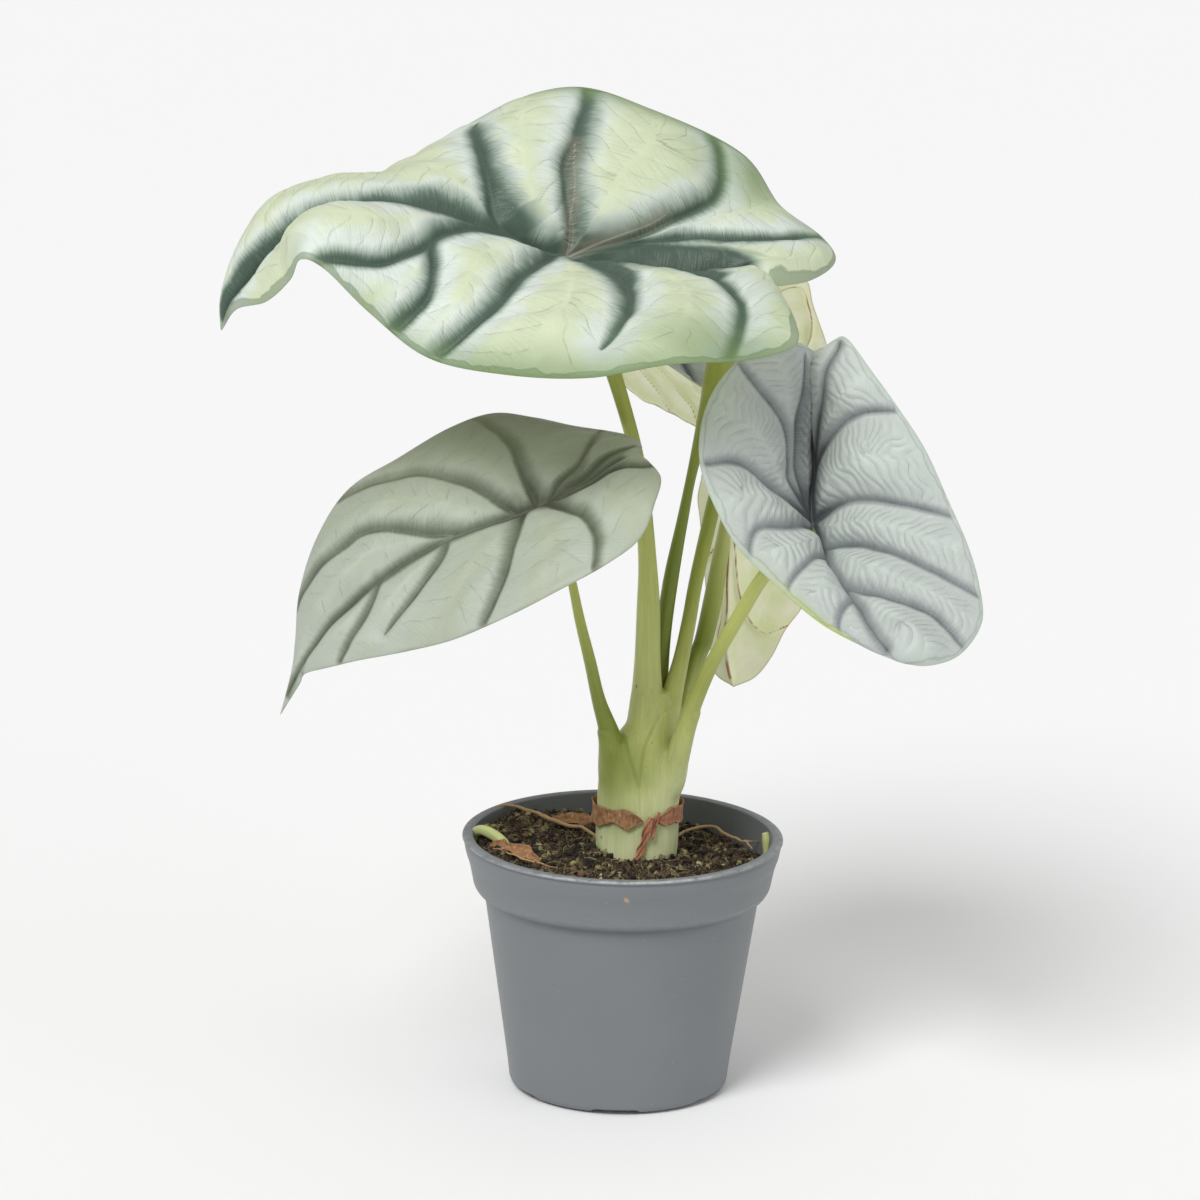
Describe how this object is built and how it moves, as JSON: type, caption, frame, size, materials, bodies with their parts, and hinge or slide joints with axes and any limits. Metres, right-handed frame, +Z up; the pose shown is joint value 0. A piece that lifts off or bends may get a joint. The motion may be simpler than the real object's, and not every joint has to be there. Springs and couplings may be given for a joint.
{
  "type": "potted alocasia",
  "caption": "Small house plant with large quilted silver leaves with dark veins, each on its own upright stalk, rooted in soil in a round tapered nursery pot.",
  "frame": {"origin": "middle of the pot's base, on the surface that it stands on", "axes": "+Z up along the pot's axis and through the tallest extent, -Y the front that the picture shows, +X to the right seen from the front"},
  "size_m": [0.2771, 0.1876, 0.3734],
  "materials": {
    "pot_plastic": "satin blue-grey moulded plastic",
    "soil": "rough dark peat with pale grains",
    "crown_tissue": "satin pale green plant tissue",
    "dry_sheath": "papery brown",
    "stalk_tissue": "satin yellow-green plant tissue",
    "leaf_silver": "soft silver-green sheen with dark green veins, cream underneath"
  },
  "bodies": {
    "root": {"pot": "pot_plastic", "soil": "soil", "crown": "crown_tissue", "dry_sheath": "dry_sheath", "blade_top": "leaf_silver", "blade_left": "leaf_silver", "blade_right": "leaf_silver", "blade_back_high": "leaf_silver", "blade_back_left": "leaf_silver", "blade_back_low": "leaf_silver", "stalk_top": "stalk_tissue", "stalk_left": "stalk_tissue", "stalk_right": "stalk_tissue", "stalk_back_high": "stalk_tissue", "stalk_back_left": "stalk_tissue", "stalk_back_low": "stalk_tissue"}
  },
  "joints": []
}
